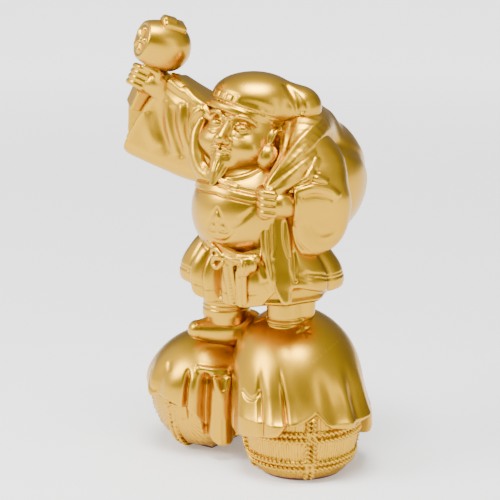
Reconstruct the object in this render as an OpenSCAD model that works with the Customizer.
// Gold-plated cast figure of a fortune god with mallet and sack, standing on two straw bales.
// Frame: +Z up, the figure faces -Y, its left hand is on +X, the floor is z = 0.

/* [Bales] */
// Radius of each straw bale at its fattest
bale_r = 25.5; // [24.5:0.5:26]
// Half of the lying bale's length
bale_half_len = 29; // [27:0.5:30]
// Height of the standing bale, without its cloth
bale_h = 58; // [57:0.5:59]
// Thickness of the cloth that drapes over each bale
cloth_t = 2; // [1.5:0.1:2.2]

/* [Figure] */
// Radius of the belly
belly_r = 24; // [23:0.5:25]
// Radius of the head at the cheeks
head_r = 17; // [16:0.5:18]
// Radius of the sack on the back
sack_r = 32.5; // [31:0.5:34]
// Radius of the mallet's barrel
mallet_r = 9.5; // [9:0.5:10]
// Length of the mallet's barrel
mallet_len = 20; // [19:0.5:22]

/* [Casting] */
// Wall thickness of the hollow castings
wall = 1.8; // [1.4:0.1:2.2]
// Radius of the locating dowels
dowel_r = 2; // [1.5:0.1:2.5]
// Radius of the foot screws' shanks (M4)
screw_r = 2; // [1.5:0.1:2.2]
// Thickness of the felt pads under the bales
felt_t = 1; // [0.6:0.1:1.5]
// Thickness of the base plates that close the bales
plate_t = 1.5; // [1.2:0.1:2]

/* [Hidden] */

blob_fn = 24;              // facets of the spheres inside a hull
round_fn = 64;             // facets of bores, pins and turned shapes
gap = 0.05;                // clearance where two castings seat on each other
bore_gap = 0.1;            // radial clearance of a dowel or screw in its hole
gold = "goldenrod";
steel = "silver";

// The figure is drawn round the middle of its stance, then moved so that the
// whole part's box is centred on the origin.
stance = [6.6, -13, 0];

right_bale_at = [-30, 3, 26.3];
left_bale_at = [22.5, -2, 0];
right_foot_at = [-16, 1, 0];
left_foot_at = [15.5, 1, 0];
right_ankle_z = 60;
left_ankle_z = bale_h + 0.2;
hip_z = 92;
right_cuff_r = 11.5;
left_cuff_r = 9.8;
right_plate_y = [-9.5, 13.5];  // ends of the lying bale's base plate along the bale's axis
right_screw_y = [-6, 10];   // its two screws
boss_circle_r = 15.5;      // of the left bale's base plate screws
cloth_crown_z = 66;        // top of the cloth round the left ankle

neck_at = [-4, -5, 135];
right_shoulder_at = [-19, -2, 132];
left_shoulder_at = [16, 5, 130];
sack_at = [0, 27, 124];
sack_screw_z = 112;

// The handle runs from below the fist, through the fist and the barrel, to its knob.
handle_foot = [-60.5, -15.2, 155.7];
handle_top = [-40.4, -13.6, 192];
fist_at = [-53, -14.6, 168.5];
barrel_at = [-44.7, -14, 184.2];
barrel_dir = [-0.49, -0.82, 0.29];
handle_r = 2.4;
left_fist_at = [19, -23.5, 122.5];
neck_grip = [[20, -20, 131], [17.6, -27, 113]];   // the sack's gathered neck inside the left fist

// Spheres [x, y, z, r] whose hull is each casting's outer shape.
torso_blobs = [
    [-1.5, -9.5, 115, belly_r], [-3, -3, 131, 18], [0, 0, 113, 23], [-1, -3, 102, 21]
];
head_blobs = [[-4, -8, 147, head_r], [-4, -11, 143, 16], [-3.5, -5, 152, 16]];
hat_blobs = [[-4, -5, 155.5, 18], [3, 0, 158, 14], [15, 5, 158.5, 9]];
right_sleeve_blobs = [
    [-19, -3, 134, 14], [-46, -12, 161, 5], [-36, -4.5, 156, 6.5], [-58, -14.5, 142, 5],
    [-54, -11, 137, 5], [-32, -5, 134, 8]
];
left_sleeve_blobs = [
    [20, 4, 133, 11], [34, 4, 120, 7.5], [25, -9, 120, 7], [28, -1, 104, 6.5], [34, 4, 108, 7.5]
];
sack_blobs = [concat(sack_at, sack_r), [6, 22, 140, 21], [1, 30, 116, 29]];
sack_neck_blobs = [[18, 6, 146, 11], [21, -8, 138, 7.5], [20.2, -18.5, 130, 5]];
coat_blobs = [
    [-4, -1, 97, 28], [6, 1, 97, 28], [-28, -9, 88, 8], [31, 8, 86, 7.5], [2, 20, 86, 10],
    [4, -20, 84, 9], [27, -12, 84, 9]
];
coat_low_z = 76;
coat_top_z = 103;

// Point t of the way from p to q.
function mix(p, q, t) = p + (q - p) * t;

// Half outline of an egg-shaped bale: radius against length, as a superellipse.
function bale_radius(t, r) = r * pow(max(0, 1 - pow(abs(t), 3)), 1 / 2.2);
function bale_outline(half, r, steps = 16) = [
    for (i = [-steps : steps]) [bale_radius(sin(90 * i / steps), r), half * sin(90 * i / steps)]
];

// Outer surface of the standing bale: a barrel that narrows to both ends.
function barrel_outline(r, low, high, foot_r, top_r) = [
    [0, low], [foot_r, low],
    for (i = [1 : 13])
        let (t = i / 14, z = low + (high - low) * t)
        [foot_r + (top_r - foot_r) * t + (r - (foot_r + top_r) / 2) * pow(sin(180 * t), 0.7), z],
    [top_r, high], [0, high]
];

module place() {
    translate(stance) children();
}

module blob(balls, shrink = 0) {
    hull() for (ball = balls)
        translate([ball[0], ball[1], ball[2]]) sphere(r = ball[3] - shrink, $fn = blob_fn);
}

// Draws its children with +Z running from p towards q.
module aim(p, q) {
    d = q - p;
    translate(p) rotate([0, acos(d[2] / norm(d)), atan2(d[1], d[0])]) children();
}

module rod(p, q, r) {
    aim(p, q) cylinder(r = r, h = norm(q - p), $fn = round_fn);
}

// The body: belly, chest and back in one hollow casting, with the dowel sockets for
// the head and both arms and the sack's screw hole.
module torso() {
    color(gold) place() difference() {
        blob(torso_blobs);
        difference() {
            blob(torso_blobs, wall);
            translate([-60, -60, 60]) cube([120, 120, hip_z + 2 - 60]);
        }
        rod(neck_at - [0, 0, 8], neck_at + [0, 0, 20], dowel_r + bore_gap);
        rod(right_shoulder_at, right_shoulder_at + [20, 0, -4], dowel_r + bore_gap);
        rod(left_shoulder_at, left_shoulder_at - [14, 2, 0], dowel_r + bore_gap);
        rod([0, 0, sack_screw_z], [0, 40, sack_screw_z], screw_r + bore_gap);
        translate([-60, -60, 60]) cube([120, 120, hip_z - 60]);
        for (side = [-1, 1]) hip_screw(side, 0.1);
    }
}

// The head with face, ears and goatee, seated on the collar over the neck dowel.
module head() {
    color(gold) place() difference() {
        blob(head_blobs);
        blob([head_blobs[0], head_blobs[2]], wall + 1);
        blob(torso_blobs, -gap);
        rod(neck_at - [0, 0, 8], neck_at + [0, 0, 7], dowel_r + bore_gap);
    }
}

// The soft cap: a hollow dome over the crown that falls back over the left shoulder.
module hat() {
    color(gold) place() difference() {
        blob(hat_blobs);
        blob(hat_blobs, wall);
        blob(head_blobs, -gap);
    }
}

module right_sleeve() {
    color(gold) place() difference() {
        blob(right_sleeve_blobs);
        blob(right_sleeve_blobs, wall + 0.6);
        blob(torso_blobs, -gap);
        blob(sack_blobs, -gap);
        blob(head_blobs, -gap);
        blob(hat_blobs, -gap);
        rod(right_shoulder_at - [22, 2, -6], right_shoulder_at + [4, 0, 0], dowel_r + bore_gap);
        translate(fist_at) sphere(r = 8.2, $fn = round_fn);
        rod(handle_foot, handle_top, handle_r + gap);
        rod(handle_foot, mix(handle_foot, handle_top, 0.1), 5.5 + gap);
    }
}

// The raised fist, bored for the mallet's handle.
module right_hand() {
    half = barrel_dir * mallet_len / 2;
    color(gold) place() difference() {
        translate(fist_at) sphere(r = 8.1, $fn = round_fn);
        rod(handle_foot, handle_top, handle_r + gap);
        rod(barrel_at - half, barrel_at + half, mallet_r + gap);
    }
}

module mallet_head() {
    half = barrel_dir * mallet_len / 2;
    color(gold) place() difference() {
        union() {
            rod(barrel_at - half, barrel_at + half, mallet_r - 1.5);
            rod(barrel_at - half * 0.8, barrel_at + half * 0.8, mallet_r);
        }
        rod(barrel_at - half * 0.75, barrel_at + half * 0.75, mallet_r - wall);
        rod(handle_foot, handle_top, handle_r + gap);
    }
}

// The handle, with its flared foot below the fist and the bow's knob on top.
module mallet_handle() {
    half = barrel_dir * mallet_len / 2;
    color(gold) place() difference() {
        union() {
            rod(handle_foot, handle_top, handle_r);
            rod(handle_foot, mix(handle_foot, handle_top, 0.1), 5.5);
            translate(handle_top) sphere(r = 4.5, $fn = round_fn);
        }
        difference() {
            rod(barrel_at - half, barrel_at + half, mallet_r + gap);
            rod(handle_foot, handle_top, handle_r + 0.01);
        }
    }
}

module left_sleeve() {
    color(gold) place() difference() {
        blob(left_sleeve_blobs);
        blob(left_sleeve_blobs, wall + 0.6);
        blob(torso_blobs, -gap);
        blob(sack_blobs, -gap);
        blob(sack_neck_blobs, -gap);
        rod(left_shoulder_at, left_shoulder_at + [12, 2, 0], dowel_r + bore_gap);
        translate(left_fist_at) sphere(r = 7.2, $fn = round_fn);
    }
}

// The left fist, closed round the sack's gathered neck.
module left_hand() {
    color(gold) place() difference() {
        translate(left_fist_at) sphere(r = 7.1, $fn = round_fn);
        rod(neck_grip[0], neck_grip[1], 3.6 + gap);
        translate([torso_blobs[0][0], torso_blobs[0][1], torso_blobs[0][2]])
            sphere(r = belly_r + gap, $fn = round_fn);
    }
}

// The sack and its gathered neck, which passes over the left shoulder.
module sack() {
    color(gold) place() difference() {
        union() {
            blob(sack_blobs);
            difference() {
                blob(sack_neck_blobs);
                translate(left_fist_at) sphere(r = 7.1 + gap, $fn = round_fn);
            }
            rod(neck_grip[0], neck_grip[1], 3.6);
        }
        blob(sack_blobs, wall);
        blob(torso_blobs, -gap);
        blob(hat_blobs, -gap);
        blob(head_blobs, -gap);
        rod([0, 0, sack_screw_z], [0, 40, sack_screw_z], screw_r + bore_gap);
    }
}

// The coat below the waist: a flared hollow skirt, open underneath, with a solid
// collar above that seats on the torso.
module coat_skirt() {
    collar_z = coat_top_z - 6;
    color(gold) place() difference() {
        blob(coat_blobs);
        difference() {
            blob(coat_blobs, 2.4);
            translate([-60, -60, collar_z]) cube([120, 120, 60]);
        }
        blob(torso_blobs, -gap);
        blob(sack_blobs, -gap);
        blob(left_sleeve_blobs, -gap);
        translate([-60, -60, 40]) cube([120, 120, coat_low_z - 40]);
        translate([-60, -60, coat_top_z]) cube([120, 120, 60]);
    }
}

// Two loops and two hanging ends of the sash, on one small casting.
module sash_bow() {
    knot = [7, -29.5, 94];
    color(gold) place() difference() {
        union() {
            blob([concat(knot + [-9, 1, -1], 3.4), concat(knot + [8, 2, -2], 3.6)]);
            blob([concat(knot, 3), concat(knot + [2, 1, -15], 2.2)]);
        }
        blob(torso_blobs, -gap);
        blob(coat_blobs, -gap);
    }
}

// One trouser leg: a gathered cuff over a calf that meets the torso's floor, with
// blind holes for the foot screw below and the hip screw above.
module trouser_leg(side, at, low, cuff_r, foot_r) {
    color(gold) place() difference() {
        translate(at) rotate_extrude($fn = round_fn) polygon([
            [0, low], [foot_r, low], [foot_r, low + 2], [cuff_r, low + 5], [cuff_r, low + 10],
            [cuff_r - 2.5, low + 14], [cuff_r - 1.5, hip_z], [0, hip_z]
        ]);
        translate(at + [0, 0, low - 1]) cylinder(r = screw_r - 0.3, h = 11, $fn = round_fn);
        hip_screw(side, 0);
    }
}

// A screw from inside the torso down into one leg; grown by extra it is its hole.
module hip_screw(side, extra) {
    translate([12.5 * side, 0, hip_z - 8]) cylinder(r = 1.5 + extra, h = 10 + extra, $fn = round_fn);
}

// The right shoe, toe turned outwards, seated on its bale's cloth and drilled for the foot screw.
module right_shoe() {
    toe = [-8, -10.5, 0];
    color(gold) place() difference() {
        blob([
            concat(right_foot_at + [0, 0, 57], 8), concat(right_foot_at + toe * 1.3 + [0, 0, 55.5], 6),
            concat(right_foot_at - toe * 0.4 + [0, 0, 56], 6.5)
        ]);
        translate([-60, -60, right_ankle_z]) cube([120, 120, 20]);
        right_dome(bale_r + cloth_t + gap);
        left_dome(gap);
        rod(right_foot_at + [0, 0, 40], right_foot_at + [0, 0, 70], screw_r + bore_gap);
    }
}

// The lying bale's outer surface at radius r.
module right_dome(r) {
    translate(right_bale_at) rotate([90, 0, 0]) rotate_extrude($fn = round_fn)
        polygon(bale_outline(bale_half_len + r - bale_r, r));
}

// The outer surface of the standing bale's cloth, grown by extra.
module left_dome(extra) {
    translate(left_bale_at) rotate_extrude($fn = round_fn) polygon(
        barrel_outline(bale_r + cloth_t + extra, 22, cloth_crown_z + extra, 28 + extra, 15 + extra)
    );
}

module right_bale() {
    color(gold) place() difference() {
        right_dome(bale_r);
        right_dome(bale_r - wall);
        translate([-60, -60, -30]) cube([120, 120, 30 + felt_t]);
        right_plate_shape(felt_t - 1, plate_t + 1.01, 0.1);
        rod(right_foot_at, right_foot_at + [0, 0, 70], screw_r + bore_gap);
    }
    color(gold) place() intersection() {
        right_dome(bale_r - 0.5);
        for (y = right_screw_y) plate_boss(right_bale_at + [0, y, 0]);
    }
}

module left_bale() {
    color(gold) place() difference() {
        translate(left_bale_at) rotate_extrude($fn = round_fn)
            polygon(barrel_outline(bale_r, felt_t, bale_h, 20.5, 15));
        translate(left_bale_at) rotate_extrude($fn = round_fn)
            polygon(barrel_outline(bale_r - wall, felt_t - 1, bale_h - wall, 20.5 - wall, 15 - wall));
        rod(left_foot_at, left_foot_at + [0, 0, 70], screw_r + bore_gap);
    }
    color(gold) place() intersection() {
        translate(left_bale_at) rotate_extrude($fn = round_fn)
            polygon(barrel_outline(bale_r - 0.5, felt_t, bale_h, 20, 15));
        for (turn = [0 : 120 : 240]) {
            plate_boss(left_bale_at + boss_circle_r * [cos(turn), sin(turn), 0]);
            translate(left_bale_at + [0, 0, felt_t + plate_t + gap]) rotate([0, 0, turn])
                translate([boss_circle_r + 2, -1.2, 0]) cube([8, 2.4, 7]);
        }
    }
}

// A drilled post above the base plate that takes one of its screws.
module plate_boss(at) {
    foot = felt_t + plate_t + gap;
    difference() {
        translate([at[0], at[1], foot]) cylinder(r = 2.6, h = 7, $fn = round_fn);
        translate([at[0], at[1], foot - 1]) cylinder(r = 0.9, h = 6, $fn = round_fn);
    }
}

// The lying bale's cloth: over the crown and the outer side, down to the floor in front.
module right_bale_cloth() {
    color(gold) place() difference() {
        right_dome(bale_r + cloth_t);
        right_dome(bale_r + gap);
        translate([-70, -60, -10]) cube([120, 120, 10 + felt_t]);
        translate([-70, -60, -10]) cube([42, 120, 30]);
        translate([-70, 0, -10]) cube([120, 70, 28]);
        left_dome(gap);
        rod(right_foot_at, right_foot_at + [0, 0, 70], screw_r + bore_gap);
    }
}

// The standing bale's cloth: a flared dome whose hem hangs above the bale's lower band.
module left_bale_cloth() {
    color(gold) place() difference() {
        left_dome(0);
        translate(left_bale_at) rotate_extrude($fn = round_fn)
            polygon(barrel_outline(bale_r + gap, felt_t, bale_h + gap, 20.5, 15));
        rod(left_foot_at, left_foot_at + [0, 0, 80], left_cuff_r + gap);
    }
}

// Outline of the lying bale's base plate, from z = low, t thick, grown by extra.
module right_plate_shape(low, t, extra = 0) {
    translate([right_bale_at[0] - 7 - extra, right_bale_at[1] + right_plate_y[0] - extra, low])
        cube([14 + 2 * extra, right_plate_y[1] - right_plate_y[0] + 2 * extra, t]);
}

module right_base_plate() {
    color(gold) place() difference() {
        right_plate_shape(felt_t, plate_t);
        for (y = right_screw_y) plate_hole(right_bale_at + [0, y, 0]);
    }
}

module left_base_plate() {
    color(gold) place() difference() {
        translate(left_bale_at + [0, 0, felt_t]) cylinder(r = 18.5, h = plate_t, $fn = round_fn);
        for (turn = [0 : 120 : 240]) plate_hole(left_bale_at + boss_circle_r * [cos(turn), sin(turn), 0]);
    }
}

module plate_hole(at) {
    translate([at[0], at[1], -1]) cylinder(r = 1.2, h = 10, $fn = round_fn);
}

module right_felt_pad() {
    color("dimgray") place() right_plate_shape(0, felt_t, -0.5);
}

module left_felt_pad() {
    color("dimgray") place() translate(left_bale_at) cylinder(r = 18, h = felt_t, $fn = round_fn);
}

// One M4 screw from inside each bale, through the cloth and the shoe into the leg.
module foot_screws() {
    color(steel) place() {
        foot_screw(right_foot_at, 44, right_ankle_z);
        foot_screw(left_foot_at, bale_h - wall - 6, left_ankle_z);
    }
}

module foot_screw(at, head_z, ankle_z) {
    translate(at + [0, 0, head_z]) cylinder(r = screw_r - 0.3, h = ankle_z + 9 - head_z, $fn = round_fn);
    translate(at + [0, 0, head_z - 2.5]) cylinder(r = 3.4, h = 2.5, $fn = round_fn);
}

// One screw from inside the torso down into each leg.
module hip_screws() {
    color(steel) place() for (side = [-1, 1]) {
        hip_screw(side, 0);
        translate([12.5 * side, 0, hip_z + 2]) cylinder(r = 2.8, h = 2, $fn = round_fn);
    }
}

// Five small screws that hold the two base plates, hidden behind the felt.
module base_plate_screws() {
    color(steel) place() {
        for (y = right_screw_y) plate_screw(right_bale_at + [0, y, 0]);
        for (turn = [0 : 120 : 240]) plate_screw(left_bale_at + boss_circle_r * [cos(turn), sin(turn), 0]);
    }
}

module plate_screw(at) {
    translate([at[0], at[1], felt_t + 0.01]) cylinder(r = 0.85, h = 6, $fn = round_fn);
}

module neck_dowel() {
    color(steel) place() rod(neck_at - [0, 0, 6], neck_at + [0, 0, 6], dowel_r);
}

// One dowel in each shoulder, from the torso into the sleeve.
module shoulder_dowels() {
    color(steel) place() {
        rod(right_shoulder_at - [20, 2, -5], right_shoulder_at + [2, 0, 0], dowel_r);
        rod(left_shoulder_at - [8, 1, 0], left_shoulder_at + [10, 2, 0], dowel_r);
    }
}

// The screw that draws the sack against the back from inside the torso.
module sack_screw() {
    color(steel) place() {
        rod([0, 8, sack_screw_z], [0, 34, sack_screw_z], screw_r);
        rod([0, 6, sack_screw_z], [0, 8, sack_screw_z], 3.4);
    }
}

torso();
head();
hat();
right_sleeve();
right_hand();
mallet_head();
mallet_handle();
left_sleeve();
left_hand();
sack();
coat_skirt();
sash_bow();
trouser_leg(-1, right_foot_at, right_ankle_z, right_cuff_r, 9);  // right_trouser_leg
trouser_leg(1, left_foot_at, left_ankle_z, left_cuff_r, 8.8);  // left_trouser_leg
right_shoe();
right_bale();
left_bale();
right_bale_cloth();
left_bale_cloth();
right_base_plate();
left_base_plate();
right_felt_pad();
left_felt_pad();
foot_screws();
hip_screws();
base_plate_screws();
neck_dowel();
shoulder_dowels();
sack_screw();
